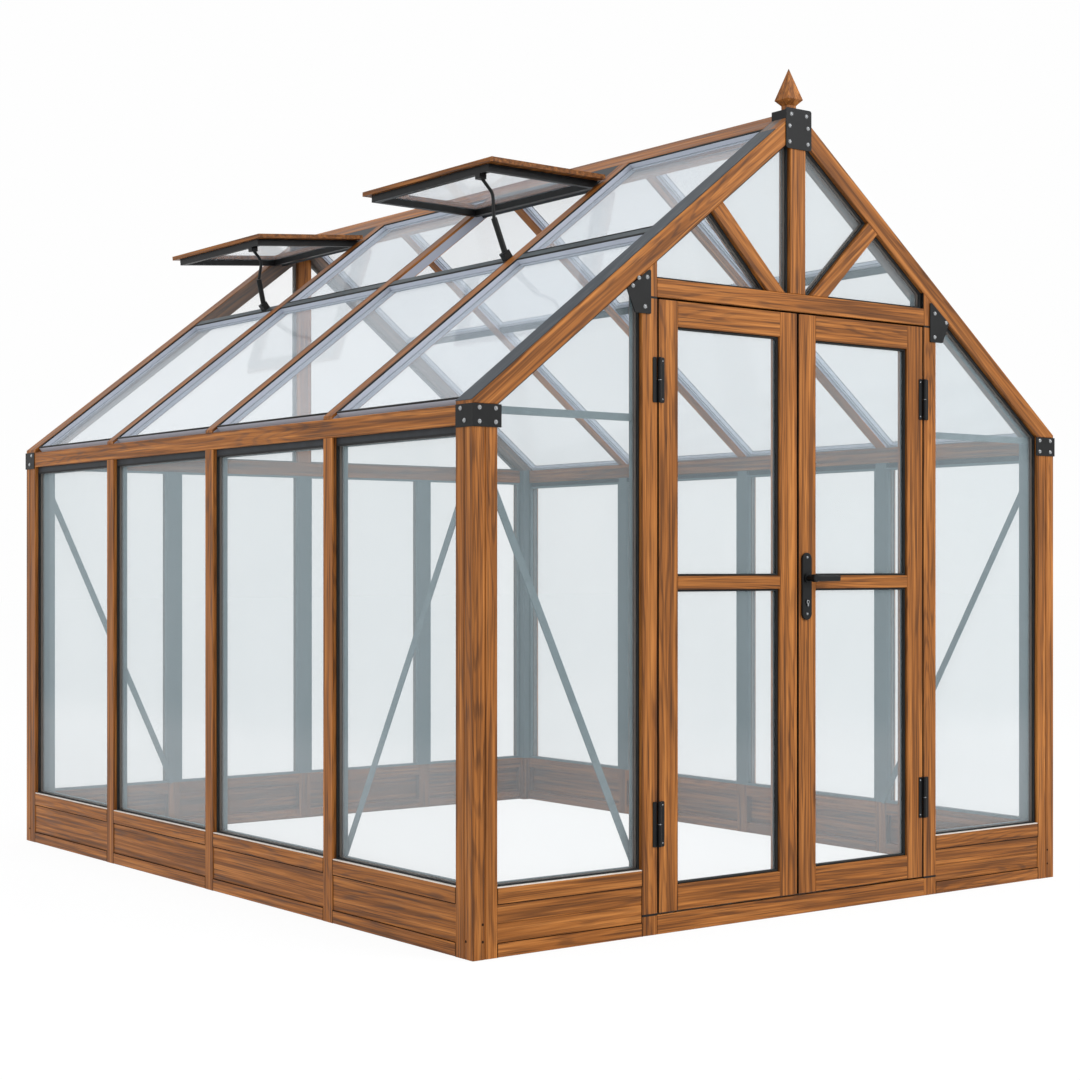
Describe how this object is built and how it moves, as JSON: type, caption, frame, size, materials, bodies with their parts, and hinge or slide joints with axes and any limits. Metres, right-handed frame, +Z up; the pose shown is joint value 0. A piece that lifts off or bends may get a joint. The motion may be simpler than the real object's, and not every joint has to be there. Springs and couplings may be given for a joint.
{
  "type": "garden greenhouse",
  "caption": "Free-standing garden greenhouse with a timber frame, glazed walls and gabled roof, double doors and open roof vents.",
  "frame": {"origin": "on the ground, at the middle of the plan", "axes": "+Z up, the ridge along Y, the front gable with the doors towards -Y"},
  "size_m": [2.606, 3.2665, 2.768],
  "materials": {
    "timber": "stained timber with an orange-brown satin finish",
    "black_metal": "black powder-coated steel",
    "bar_metal": "dark grey powder-coated aluminium",
    "aluminium": "grey painted aluminium",
    "rubber": "black rubber gasket",
    "glass": "clear toughened glass"
  },
  "bodies": {
    "frame": {"base_stiles": "timber", "base_side_rails": "timber", "base_end_rails": "timber", "base_side_panels": "timber", "base_end_panels": "timber", "corner_posts": "timber", "wall_posts": "timber", "eave_beams": "timber", "back_tie_beam": "timber", "gable_rafters": "timber", "door_jambs": "timber", "door_sill": "timber", "head_beam": "timber", "king_posts": "timber", "gable_struts": "timber", "ridge_beam": "timber", "ridge_boards": "timber", "roof_bar_caps": "timber", "vent_frames": "timber", "finial": "timber", "roof_bars": "bar_metal", "purlins": "bar_metal", "vent_trimmers": "bar_metal", "roof_flashings": "bar_metal", "eave_strips": "bar_metal", "front_tie_rails": "aluminium", "braces": "aluminium", "apex_brackets": "black_metal", "knee_brackets": "black_metal", "eave_brackets": "black_metal", "vent_underframes": "black_metal", "vent_hinges": "black_metal", "vent_openers": "black_metal", "frame_hinges": "black_metal", "door_stops": "rubber", "wall_gaskets": "rubber", "roof_gaskets": "rubber", "side_glass": "glass", "gable_glass": "glass", "roof_glass": "glass", "vent_glass": "glass"},
    "left_door": {"left_door_stiles": "timber", "left_door_rails": "timber", "left_door_hinges": "black_metal", "left_door_gaskets": "rubber", "left_door_glass": "glass"},
    "right_door": {"right_door_stiles": "timber", "right_door_rails": "timber", "right_door_hinges": "black_metal", "right_door_gaskets": "rubber", "right_door_glass": "glass", "door_handle_plates": "black_metal"},
    "door_lever": {"door_lever": "black_metal"}
  },
  "joints": [
    {"name": "left_door_hinge", "type": "hinge", "parent": "frame", "child": "left_door", "pos_m": [-0.6, -1.6115, 1], "axis": [0, 0, -1], "range_deg": [0, 110]},
    {"name": "right_door_hinge", "type": "hinge", "parent": "frame", "child": "right_door", "pos_m": [0.6, -1.6115, 1], "axis": [0, 0, 1], "range_deg": [0, 110]},
    {"name": "lever_turn", "type": "hinge", "parent": "right_door", "child": "door_lever", "pos_m": [0.035, -1.605, 1.097], "axis": [0, 1, 0], "range_deg": [0, 40], "stiffness_Nm_per_rad": 2.5, "springref_deg": -22.92}
  ]
}
